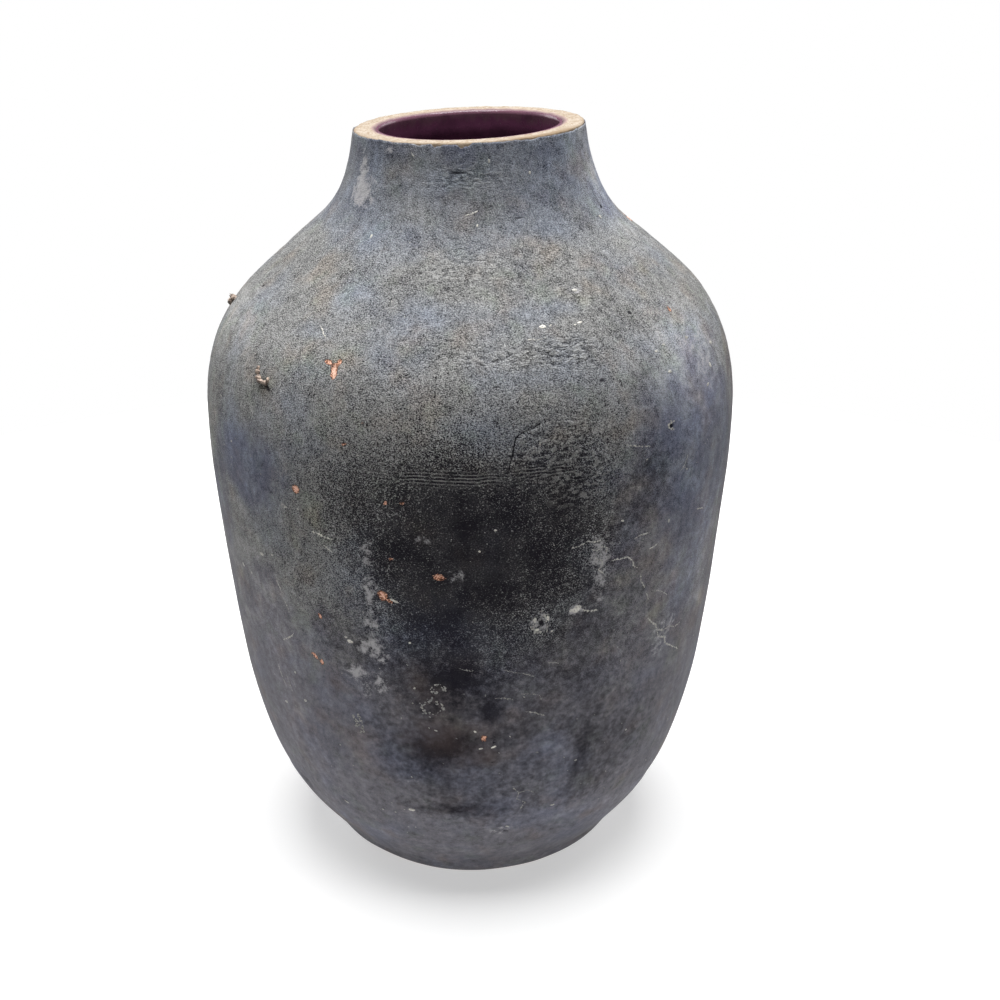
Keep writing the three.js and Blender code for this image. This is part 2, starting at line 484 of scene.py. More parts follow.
def hand_shape(azimuth, height):
    """How far the potter's hand left the wall in or out of true."""
    points = place(azimuth, height, 0)
    shoulder = 1.3 * np.sin(np.radians(azimuth)) * np.exp(-(((height - 302) / 24) ** 2))
    trimming = smoothstep(95, 55, height) * 0.5 * noise(points * (1, 1, 0.5), 34, 13)
    knocked = spots(azimuth, height, DENTS) + 0.5 * smoothstep(364, HEIGHT, height)
    return 0.3 * noise(points, 70, 11) + 0.12 * noise(points, 22, 12) + shoulder + trimming - knocked


def relief(azimuth, height):
    """How far the outside of the coat stands out, in millimetres."""
    points = place(azimuth, height, 0)
    grit = 0.12 * fractal(points, 3.4, 14) * (0.25 + sandiness(azimuth, height))
    folds = 0.3 * wrinkling(azimuth, height) * np.clip(noise(points * (1, 1, 2), 5, 15), -0.5, 0.3)
    flaked = 0.45 * smoothstep(0.45, 0.75, chipping(azimuth, height))
    sunk = 0.5 * smoothstep(0.3, 0.9, pitting(azimuth, height))
    split = 0.5 * np.exp(-((crack_side(azimuth, height) / 0.9) ** 2))
    scored = 0.18 * scoring(azimuth, height)
    trim = above_trim(azimuth, height)
    trimmed = 0.35 * smoothstep(1.5, -1.5, trim) * smoothstep(-30, -1.5, trim)
    crusted = 0.15 * np.clip(haze(azimuth, height), 0, 1) * (1 + noise(points, 2.4, 16))
    return grit + folds + crusted + trimmed - flaked - sunk - split - scored


def coat_point(azimuth, height, out):
    """A point the given distance outside the coat's surface."""
    return place(azimuth, height, -out - hand_shape(azimuth, height) - relief(azimuth, height))


def wall_point(azimuth, height, depth):
    return place(azimuth, height, depth - hand_shape(azimuth, height))


# --- meshes ----------------------------------------------------------------------------------------


def skin(ring_count, around, tips=False):
    """Quads and triangles over rings of points. They close on each other, or at a tip at each end."""
    here = np.arange(around)
    there = (here + 1) % around
    last = ring_count - 1 if tips else ring_count
    low = np.arange(last)[:, None] * around
    high = (np.arange(last)[:, None] + 1) % ring_count * around
    quads = np.stack([low + here, low + there, high + there, high + here], axis=-1).reshape(-1, 4)
    if not tips:
        return quads, np.zeros((0, 3), int)
    top = (ring_count - 1) * around
    tip = ring_count * around + 0 * here
    start_fan = np.stack([tip, there, here], axis=-1)
    end_fan = np.stack([tip + 1, top + here, top + there], axis=-1)
    return quads, np.concatenate([start_fan, end_fan])


def mesh_object(name, vertices, quads, triangles, fields=None):
    """A piece riding on the jar, with a number at each vertex for every field."""
    mesh = bpy.data.meshes.new(name)
    corners = np.concatenate([quads.ravel(), triangles.ravel()])
    starts = np.concatenate([np.arange(len(quads)) * 4, quads.size + np.arange(len(triangles)) * 3])
    mesh.vertices.add(len(vertices))
    mesh.vertices.foreach_set("co", (vertices * MM).ravel())
    mesh.loops.add(len(corners))
    mesh.loops.foreach_set("vertex_index", corners)
    mesh.polygons.add(len(starts))
    mesh.polygons.foreach_set("loop_start", starts)
    mesh.update(calc_edges=True)
    mesh.validate()
    mesh.polygons.foreach_set("use_smooth", np.ones(len(mesh.polygons), dtype=bool))
    for field, values in (fields or {}).items():
        layer = mesh.attributes.new(field, "FLOAT", "POINT")
        layer.data.foreach_set("value", np.ascontiguousarray(values, dtype=np.float32))
    piece = bpy.data.objects.new(name, mesh)
    bpy.context.scene.collection.objects.link(piece)
    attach(piece, "root")
    return piece


def turned(name, rows, tips=(), fields=None):
    """A mesh over rings of points around the jar's axis."""
    vertices = np.concatenate([rows.reshape(-1, 3), np.reshape(tips, (-1, 3))])
    return mesh_object(name, vertices, *skin(*rows.shape[:2], tips=bool(tips)), fields)


def stuck_on(name, patches, fields=None):
    """One mesh of closed lumps standing on the coat, each given by its places and its faces."""
    starts = np.cumsum([0] + [len(places) for places, _ in patches])
    azimuth, height, out = np.concatenate([places for places, _ in patches]).T
    quads = np.concatenate([start + faces[0] for start, (_, faces) in zip(starts, patches)])
    triangles = np.concatenate([start + faces[1] for start, (_, faces) in zip(starts, patches)])
    return mesh_object(name, coat_point(azimuth, height, out), quads, triangles, fields)


def azimuths(count):
    return (np.arange(count) * 360.0 / count - 180.0)[None, :]


def column(values):
    return np.asarray(values, float)[:, None]


def ring_rows(heights, depth, count):
    return wall_point(azimuths(count), column(heights), depth)


def moved(azimuth, height, across, up):
    """A place on the coat after a move sideways and up along it, in millimetres."""
    return azimuth + np.degrees(across / outer_radius(height)), height + up / np.hypot(1, outer_lean(height))


# --- the pot's pieces --------------------------------------------------------------------------------


def faces_of(seam):
    return seam - LUTE / 2, seam + LUTE / 2


CLAY_OUTSIDE = COAT + GAP
SEAMS = (BASE_SEAM, BELLY_SEAM, NECK_SEAM)
INNER_SEAMS = (BASE_SEAM, BELLY_SEAM + BEVEL, NECK_SEAM + BEVEL / 2)
FLOOR = place(0, np.float64(faces_of(BASE_SEAM)[0]), WALL)[2]
HIDDEN_STEP = 4.0

COAT_LOW = 0.4
COAT_HIGH = 369.6
EDGE_START = 356.0
# Notches in the coat's edge, as azimuth, depth and half their width.
NOTCHES = (
    (-24, 0.7, 2),
    (-16, 1.7, 1.2),
    (-13.6, 0.9, 1),
    (-9, 0.5, 3),
    (-3.4, 2.1, 1.8),
    (-0.4, 1.3, 1.2),
    (31, 0.5, 2),
)


def wall_section(name, below, above):
    outside = even_heights(faces_of(SEAMS[below])[1], faces_of(SEAMS[above])[0], HIDDEN_STEP)
    inside = even_heights(faces_of(INNER_SEAMS[below])[1], faces_of(INNER_SEAMS[above])[0], HIDDEN_STEP)
    outer_rows = ring_rows(outside, CLAY_OUTSIDE, HIDDEN_AROUND)
    inner_rows = ring_rows(inside[::-1], WALL, HIDDEN_AROUND)
    return turned(name, np.concatenate([outer_rows, inner_rows]))


def lute(name, index):
    low, high = faces_of(SEAMS[index])
    inner_low, inner_high = faces_of(INNER_SEAMS[index])
    outside = ring_rows([low + GAP, high - GAP], CLAY_OUTSIDE, HIDDEN_AROUND)
    inside = ring_rows([inner_high - GAP, inner_low + GAP], WALL, HIDDEN_AROUND)
    return turned(name, np.concatenate([outside, inside]))


def coat_thickness(height):
    """The coat thins out below the lip."""
    return COAT * (1 - 0.6 * smoothstep(361, 368, height))


def coat_edge(azimuth):
    """Height at which the coat stops under the lip: ragged, with notches at the front."""
    around = lay(azimuth, np.float64(OUTLINE_RADII[-1]), np.float64(HEIGHT))
    edge = COAT_HIGH + 0.35 * noise(around, 9, 51) + 0.3 * noise(around, 2.6, 52)
    edge = edge - 1.2 * (1 - front(azimuth, 105)) - 0.8 * np.clip(np.sin(np.radians(azimuth)), 0, 1)
    for at, depth, half in NOTCHES:
        aside = np.radians(turn_from(azimuth, at)) * OUTLINE_RADII[-1]
        edge = edge - depth * np.exp(-((aside / half) ** 2))
    return edge


def outer_coat():
    """The slip coat, stretched near the lip to its ragged edge, with all that has happened to it."""
    angle = azimuths(AROUND)
    heights = column(even_heights(COAT_LOW, COAT_HIGH, ROW_STEP))
    stretch = (coat_edge(angle) - EDGE_START) / (COAT_HIGH - EDGE_START)
    heights = heights + np.maximum(heights - EDGE_START, 0) * (stretch - 1)
    outside = coat_point(angle, heights, 0)
    kept = np.unique(np.append(np.arange(0, len(heights), INNER_SKIP), len(heights) - 1))[::-1]
    inside = wall_point(angle, heights[kept], coat_thickness(heights[kept]))
    fields = {
        "sand": sandiness(angle, heights),
        "cool": coolness(angle, heights),
        "tone": tone(angle, heights),
        "soot_and_shade": soot_and_shade_amount(angle, heights),
        "haze": haze(angle, heights),
        "chip": chipping(angle, heights),
        "pit": pitting(angle, heights),
        "stain": spots(angle, heights, STAINS),
        "wrinkle": wrinkling(angle, heights),
        "score": scoring(angle, heights),
        "crack": crack_side(angle, heights),
    }
    behind = np.zeros(inside.shape[:2])
    fields = {name: np.concatenate([values, behind]).ravel() for name, values in fields.items()}
    fields["crack"][outside.shape[0] * AROUND :] = CRACK_CLEAR
    return turned("coat", np.concatenate([outside, inside]), fields=fields)


LIP_OUTER_ROUND = 0.8
LIP_INNER_ROUND = 3.0
LIP_STEP = 0.7
LIP_REACH = 11.7  # how far in the lip comes, over the top of the lining
BLUSH_WIDTH = 5.5  # how far the lining's colour has run out over the lip
TOAST_AZIMUTH = 42  # where the lip is scorched most
LINING_TOP = HEIGHT - LIP_INNER_ROUND + 0.2


def lip_section():
    """The top of the lip from its outer to its inner corner, as depth and height."""
    quarter = np.linspace(0, math.pi / 2, 6)
    side = coat_thickness(HEIGHT) + GAP
    rise = 1 - np.sin(quarter)
    run = 1 - np.cos(quarter)
    outer = np.stack([side + LIP_OUTER_ROUND * run, HEIGHT - LIP_OUTER_ROUND * rise], axis=-1)
    inner = np.stack([LIP_REACH - LIP_INNER_ROUND * rise, HEIGHT - LIP_INNER_ROUND * run], axis=-1)
    across = np.arange(outer[-1, 0] + LIP_STEP, inner[0, 0], LIP_STEP)
    flat = np.stack([across, 0 * across + HEIGHT], axis=-1)
    return np.concatenate([outer, flat, inner])


def lip():
    """The bare lip coil, with how near its inner edge and how scorched it is at each vertex."""
    angle = azimuths(INSIDE_AROUND)
    heights = column(even_heights(faces_of(NECK_SEAM)[1], HEIGHT - 2, 1))
    outside = wall_point(angle, heights, coat_thickness(heights) + GAP)
    depth, level = np.hsplit(lip_section(), 2)
    around = lay(angle, OUTLINE_RADII[-1] - depth, level)
    dents = 0.16 * noise(around, 5, 61) + 0.08 * noise(around, 1.8, 62)
    top = lay(angle, outer_radius(level) + hand_shape(angle, level) - depth + dents, level + dents - 0.2)
    inside_heights = column(even_heights(faces_of(INNER_SEAMS[2])[1], HEIGHT - LIP_INNER_ROUND - 1, 1)[::-1])
    inside = wall_point(angle, inside_heights, WALL)
    rows = np.concatenate([outside, top, inside])
    inner_edge = smoothstep(LIP_REACH - BLUSH_WIDTH, LIP_REACH, depth.ravel())
    inward = np.concatenate([np.zeros(len(outside)), inner_edge, np.ones(len(inside))])
    outer_edge = column(np.append(0 * heights, depth))
    toast = np.exp(-((turn_from(angle, TOAST_AZIMUTH) / 26) ** 2)) * (1 - smoothstep(0, 7, outer_edge))
    toast = np.maximum(toast, 0.42 * (1 - smoothstep(0.6, 3, outer_edge)))
    toast = np.concatenate([toast, np.zeros((len(inside), INSIDE_AROUND))])
    fields = {"inward": np.repeat(inward, INSIDE_AROUND), "toast": toast.ravel()}
    return turned("lip", rows, fields=fields)


def lining_section(heights):
    """The lining's face, drawn in at the top to meet the lip, as radius and height."""
    lean = outer_lean(heights)
    length = np.hypot(1, lean)
    depth = WALL + GAP + GLAZE
    radius = outer_radius(heights) - depth / length
    level = heights + depth * lean / length
    top = OUTLINE_RADII[-1] - LIP_REACH - 0.1
    return radius + (top - radius) * smoothstep(LINING_TOP - 16, LINING_TOP, level), level


def throwing_rings(azimuth, height):
    """Ridges left inside by the potter's fingers, winding up the wall and dying out below the lip."""
    winding = np.radians(azimuth) + 2 * math.pi * height / 7
    ridges = 0.22 * np.sin(winding) + 0.2 * noise(place(azimuth, height, WALL), 20, 63)
    return ridges * smoothstep(HEIGHT, HEIGHT - 25, height)


def lining():
    """The glaze inside, from its hidden back to its face and the floor, with the depth below the lip."""
    angle = azimuths(INSIDE_AROUND)
    heights = even_heights(faces_of(BASE_SEAM)[0], HEIGHT - 0.5, 1.5)
    backing = ring_rows(heights[::4], WALL + GAP, INSIDE_AROUND)
    face_heights = column(heights[3:][::-1])
    radius, level = lining_section(face_heights)
    bumps = hand_shape(angle, face_heights) - throwing_rings(angle, face_heights)
    face = lay(angle, radius + bumps, level + 0 * angle)
    corner = face[-1]
    shares = column((0.97, 0.9, 0.75, 0.5, 0.25))[..., None]
    floor_rows = corner[None] * shares
    floor_rows[..., 2] = FLOOR + GAP + GLAZE + 0.25 * np.sin(shares[..., 0] * 30 + np.radians(angle))
    tips = [(0, 0, FLOOR + GAP), (0, 0, FLOOR + GAP + GLAZE)]
    rows = np.concatenate([backing, face, floor_rows])
    leaned = rows[..., 0] * MOUTH_RISE * smoothstep(LEAN_START, LEAN_END, rows[..., 2])
    below = HEIGHT - (rows[..., 2] - leaned)
    below = np.append(below.ravel(), [HEIGHT, HEIGHT])
    return turned("lining", rows, tips, {"below": below / 20})


FOOT_ROUND = 1.5
FOOT_SHARES = (0.12, 0.3, 0.5, 0.68, 0.8, 0.88, 0.94, 0.975, 0.99)


def slab():
    """The base, slightly hollow underneath inside its ring of a foot."""
    angle = azimuths(HIDDEN_AROUND)
    side = ring_rows([FOOT_ROUND, faces_of(BASE_SEAM)[0]], CLAY_OUTSIDE, HIDDEN_AROUND)
    rim_radius = OUTLINE_RADII[0] - CLAY_OUTSIDE
    radii = column(FOOT_SHARES) * rim_radius
    foot = lay(angle, radii, 0 * radii)
    hollow = smoothstep(0.95, 0.8, radii / rim_radius)
    foot[..., 2] = hollow * (0.5 + 0.3 * noise(foot, 18, 64))
    upper = ring_rows([faces_of(BASE_SEAM)[0]], WALL, HIDDEN_AROUND)
    tips = [(0, 0, 0.6), (0, 0, FLOOR)]
    return turned("base", np.concatenate([foot, side, upper]), tips)


# --- crumbs, flecks and fine lines fused to the coat ---------------------------------------------------
# Flecks are azimuth, height, width, tallness, paleness and, for a slanted one, turn.

FLECKS = (
    (28, 355, 1, 1.6, 0.6),
    (3, 336, 1, 1.2, 0.8),
    (-39, 330, 1, 2.2, 0.6),
    (9, 362, 0.8, 1.8, 0.5),
    (61, 332, 1.6, 2, 0.5),
    (17.3, 300.5, 2.8, 1.9, 1),
    (19.3, 300.6, 1, 0.9, 0.7),
    (25.4, 299.7, 1.2, 0.7, 0.9),
    (27, 300.2, 2.6, 0.9, 1, 10),
    (29.6, 310.8, 2.6, 1.6, 0.6),
    (44, 284.5, 2, 1.2, 0.5),
    (47, 286, 1.8, 1.2, 0.5),
    (46, 275.5, 2.4, 1.4, 0.6),
    (66, 277.5, 3, 1.8, 0.55),
    (62, 270, 2.2, 2.4, 0.6),
    (59, 263, 2.6, 1.4, 0.5, 20),
    (56, 285, 2.6, 1.4, 0.45),
    (-40, 218, 2.2, 1.2, 0.45),
    (-50, 187, 3, 1.5, 0.65),
    (-46, 189.5, 1.4, 1.1, 0.45),
    (-60, 173, 3, 1.4, 0.45, -40),
    (-56, 172, 1.4, 1.2, 0.4),
    (-26.4, 156.4, 2.8, 1.9, 0.8),
    (-27.4, 158.4, 1.6, 1, 0.6),
    (-15.6, 182, 4, 1.3, 0.7, -20),
    (-13, 161, 1.1, 1, 0.8),
    (-12.5, 136.5, 1, 1, 0.7),
    (0.4, 113.5, 1.6, 1, 0.8, -30),
    (4.6, 104.2, 2.8, 1, 0.9, 25),
    (1.6, 103.4, 2, 0.9, 0.7, 10),
    (1.5, 209, 1, 1, 0.9),
    (4.5, 219, 1.5, 0.9, 0.6),
    (31, 215, 1.8, 0.9, 0.6, -20),
    (44, 207, 1.2, 2, 0.4),
    (21.6, 175.2, 4.4, 3.2, 0.75),
    (20.3, 174.8, 1.8, 1.6, 0.7),
    (12.6, 172.4, 1.6, 2.6, 0.6),
    (15.4, 172.6, 1.6, 2.4, 0.75),
    (13.2, 167.4, 2.2, 1.4, 0.7),
    (16.4, 165.6, 1.2, 0.9, 0.7),
    (-44, 127.6, 1.3, 1.3, 0.5),
    (-42, 113, 1.8, 1.4, 0.5),
    (-50, 105, 2.4, 1.4, 0.45),
    (20.5, 60.5, 2.6, 1, 0.6),
    (-16, 61, 3.4, 2, 0.55),
    (-37, 52, 3, 0.9, 0.5, -35),
    (-24.6, 56, 1.2, 1, 0.4),
    (8.9, 49.8, 2, 0.9, 0.6, -30),
    (-58, 238, 1.2, 1, 0.4),
    (-36.5, 219, 1, 1, 0.5),
    (24.8, 88, 1.3, 1, 0.35),
    (39, 96, 1.4, 1, 0.35),
)

# Lines are a paleness, a width and the places they run through.
LINES = (
    (0.6, 0.6, ((-2, 340), (0.6, 340.2), (3.5, 341.6))),
    (0.5, 0.5, ((-27.6, 366), (-26.4, 364.5), (-25, 363))),
    (0.6, 0.7, ((-37.8, 297.6), (-36, 295.4), (-34.6, 293.6))),
    (0.4, 0.5, ((31.5, 250.6), (34, 248.6), (37.5, 247))),
    (0.35, 0.5, ((46.6, 229.6), (48, 232), (49, 236))),
    (0.6, 0.7, ((19.6, 206.6), (21.6, 207.4), (23.2, 208.6), (24.8, 207.6), (26.2, 208.2))),
    (0.5, 0.6, ((24, 204.4), (25.4, 203), (26.4, 204.6), (27.8, 203.6), (27.4, 200.4))),
    (0.5, 0.6, ((25, 199.4), (26.4, 198), (27, 195.4), (26, 193), (27.4, 190.6))),
    (0.55, 0.8, ((29, 196.4), (30.8, 195.8), (32.8, 195.9), (34.2, 193.6), (34.8, 190.4), (36.3, 187.6))),
    (0.5, 0.7, ((37, 184.4), (37.2, 181.4), (37.9, 178.6), (38.6, 176.2))),
    (0.3, 0.6, ((39, 174), (39.6, 171.6), (40.2, 168.6))),
    (0.5, 0.7, ((38.7, 196.2), (40.2, 196.8), (41.6, 198))),
    (0.4, 0.6, ((34.3, 204.2), (36, 205.2), (38, 204.8))),
    (0.4, 0.6, ((42.4, 172), (44.6, 169.6), (46.5, 166))),
    (0.4, 0.6, ((54.5, 205), (57.6, 203))),
    (0.7, 0.9, ((-33.2, 209.8), (-31.4, 209.2), (-30.2, 208.4), (-28.4, 208))),
    (0.55, 0.7, ((-31, 204.4), (-29.8, 203), (-28.8, 201.6))),
    (0.6, 0.8, ((-45.8, 176.4), (-44.9, 173.8), (-44.2, 170.4))),
    (0.4, 0.6, ((-43.8, 167), (-43.2, 164), (-42.8, 161))),
    (0.5, 0.7, ((-46.6, 143.6), (-45, 145.8), (-43.4, 147.8), (-42.2, 150.6))),
    (0.4, 0.7, ((-50.6, 126.4), (-49.8, 121), (-48.8, 116.8))),
    (0.3, 0.6, ((-47.6, 122.4), (-46.9, 118), (-46.4, 114.4))),
    (0.3, 0.6, ((-45.4, 122), (-44.8, 118.4))),
    (0.2, 0.45, ((-2.9, 148.8), (-1.2, 147.6), (0.4, 147.2))),
    (0.2, 0.45, ((6.2, 147.6), (8.4, 145.8), (10.6, 144.6), (13.2, 142))),
    (0.2, 0.45, ((15.8, 148.8), (17, 148.6), (18.4, 147.6))),
    (0.2, 0.45, ((4.8, 132), (6.6, 131.8), (8.7, 130.4))),
    (0.2, 0.45, ((10.2, 133.2), (12.4, 132.8), (14.4, 131.4), (15, 128.6))),
    (0.35, 0.6, ((11.4, 123.2), (13.4, 122), (15.8, 119.4))),
    (0.45, 0.9, ((40.7, 158.4), (42.2, 155), (43.6, 152.6), (44.4, 149), (46.6, 147))),
    (0.45, 0.9, ((44.4, 149), (45, 145), (47.6, 142.6), (48.2, 138.4), (51, 134.6), (54.8, 129))),
    (0.35, 0.7, ((46.6, 147), (49, 147.4), (51.4, 144.6), (53.6, 145))),
    (0.6, 0.9, ((22.8, 174.4), (24.2, 172.6), (26.4, 172.2))),
    (0.22, 0.6, ((9.4, 77.4), (11, 73.6), (10.6, 69.4), (12.8, 66.4), (11.8, 61.6))),
    (0.2, 0.5, ((11, 73.6), (13.4, 74.6), (15, 72))),
    (0.5, 0.6, ((13, 296.6), (15.2, 296.2), (17.4, 296.4))),
)

# Rings of crust are azimuth, height, width, tallness and paleness.
RINGS = (
    (-7.4, 137, 6.4, 5, 0.3),
    (-9, 126.6, 10, 8.4, 0.25),
    (-27, 113, 4.4, 4.4, 0.35),
    (-26.4, 107.4, 4, 5, 0.3),
    (-40.4, 218, 3, 2, 0.35),
    (43.8, 253, 4, 3.4, 0.5),
    (14, 170, 7.4, 10, 0.5),
)

RING_DENSITY = 2.4  # crumbs for each millimetre of a ring's width and tallness
SPECK_COUNT = 600


def patch(azimuth, height, out, tips):
    """The places of a closed lump, as azimuth, height and distance out from the coat, and its faces."""
    rows = np.stack(np.broadcast_arrays(azimuth, height, out), axis=-1)
    return np.concatenate([rows.reshape(-1, 3), tips]), skin(*rows.shape[:2], tips=True)


LUMP_SHARES = (0.85, 1, 0.93, 0.74, 0.42)
LUMP_RISES = (0, 0.05, 0.5, 0.82, 1)
LUMP_FOOT = 0.14


def lump(azimuth, height, wide, tall, rise, turn=0, seed=0, around=12):
    """A crumb standing on the coat, from a foot just inside the coat to its top."""
    rng = np.random.default_rng(seed)
    angles = np.arange(around) * 2 * math.pi / around
    waves = [rng.normal(0, 0.2 / k) * np.cos(k * angles + rng.uniform(0, 6.3)) for k in (1, 2, 3, 5)]
    outline = 1 + sum(waves)
    shares = column(LUMP_SHARES)
    out = column(LUMP_RISES) * rise * (1 + 0.2 * rng.normal(size=(len(LUMP_RISES), around)))
    out[0] = -LUMP_FOOT
    across = shares * outline * np.cos(angles) * wide / 2
    up = shares * outline * np.sin(angles) * tall / 2
    cosine = math.cos(math.radians(turn))
    sine = math.sin(math.radians(turn))
    around_it = moved(azimuth, np.float64(height), across * cosine - up * sine, across * sine + up * cosine)
    return patch(*around_it, out, [(azimuth, height, -LUMP_FOOT), (azimuth, height, rise)])


def ribbon(width, path, rise, seed):
    """A thread of crust through places on the coat, as uneven as a dried trickle."""
    rng = np.random.default_rng(seed)
    path = np.array(path, float)
    lengths = np.hypot(np.radians(np.diff(path[:, 0])) * outer_radius(path[1:, 1]), np.diff(path[:, 1]))
    reach = np.concatenate([[0], np.cumsum(lengths)])
    stations = np.linspace(0, reach[-1], max(int(reach[-1] / 0.4), 3))
    azimuth = np.interp(stations, reach, path[:, 0]) + rng.normal(0, 0.07, len(stations))
    height = np.interp(stations, reach, path[:, 1]) + rng.normal(0, 0.16, len(stations))
    heading = np.arctan2(np.gradient(height), np.gradient(np.radians(azimuth) * outer_radius(height)))
    half = width / 2 * np.clip(0.9 + 0.6 * rng.normal(size=len(stations)), 0.1, 2)
    half[[0, -1]] *= 0.3
    aside = half[:, None] * (0, 1, 0, -1)
    out = np.stack([rise * half / width * 2, 0 * half - 0.04, 0 * half - 0.14, 0 * half - 0.04], axis=-1)
    across = aside * np.sin(heading)[:, None]
    up = -aside * np.cos(heading)[:, None]
    sideways = moved(azimuth[:, None], height[:, None], across, up)
    ends = [(azimuth[i], height[i], -LUMP_FOOT / 2) for i in (0, -1)]
    return patch(*sideways, out, ends)


def ring_of_crumbs(azimuth, height, wide, tall, rng):
    """Small crumbs scattered along a ring."""
    for seed in range(int(RING_DENSITY * (wide + tall))):
        angle = rng.uniform(0, 2 * math.pi)
        reach = rng.normal(0.95, 0.22) / 2
        across = wide * reach * math.cos(angle)
        up = tall * reach * math.sin(angle)
        at = moved(azimuth, np.float64(height), across, up)
        size = rng.uniform(0.35, 0.95)
        length = size * rng.uniform(1, 2.2)
        turn = math.degrees(angle) + 90 + rng.normal(0, 30)
        yield lump(*at, length, size, 0.15, turn, seed, 8)


def ash_marks():
    """Every pale fleck, thread and ring of ash crust as one piece, with its paleness at each vertex."""
    rng = np.random.default_rng(71)
    marks = []
    for seed, (azimuth, height, wide, tall, pale, *turn) in enumerate(FLECKS):
        marks.append((pale, lump(azimuth, height, wide, tall, 0.2, *turn, seed=seed)))
    for seed, (pale, width, path) in enumerate(LINES):
        marks.append((pale, ribbon(width, path, 0.12, seed)))
    for *ring, pale in RINGS:
        marks += [(pale * rng.uniform(0.3, 1.3), each) for each in ring_of_crumbs(*ring, rng)]
    for seed in range(SPECK_COUNT):
        size = rng.uniform(0.3, 0.7)
        at = (rng.uniform(-180, 180), rng.uniform(20, 335))
        dash = lump(*at, size * rng.uniform(0.8, 3), size, 0.08, rng.normal(-40, 35), seed, 6)
        marks.append((rng.uniform(0, 0.45), dash))
    paleness = [pale * rng.uniform(0.6, 1.2, len(each[0])) for pale, each in marks]
    return stuck_on("ash_marks", [each for _, each in marks], {"pale": np.concatenate(paleness)})


def crumb(name, lumps):
    return stuck_on(name, [lump(*each, around=28) for each in lumps])


SHOULDER_CRUMB = ((-88, 288.4, 4.4, 2.8, 2.4, 0, 1), (-88.5, 286.2, 3.8, 3.6, 1.9, 0, 2))
BELLY_CRUMB = (
    (-50.7, 276.2, 1.3, 2.4, 1.1, 10, 3),
    (-50.3, 274.4, 1.6, 2.8, 1.5, 14, 4),
    (-49.4, 272.6, 2, 2.8, 1.8, 40, 5),
    (-48.2, 271.4, 2.8, 2.2, 2.3, -20, 6),
    (-46.9, 271.3, 2.4, 2.4, 2.1, -10, 7),
    (-46.3, 272.9, 1.3, 2.2, 1.2, 10, 8),
)


# --- materials -----------------------------------------------------------------------------------------


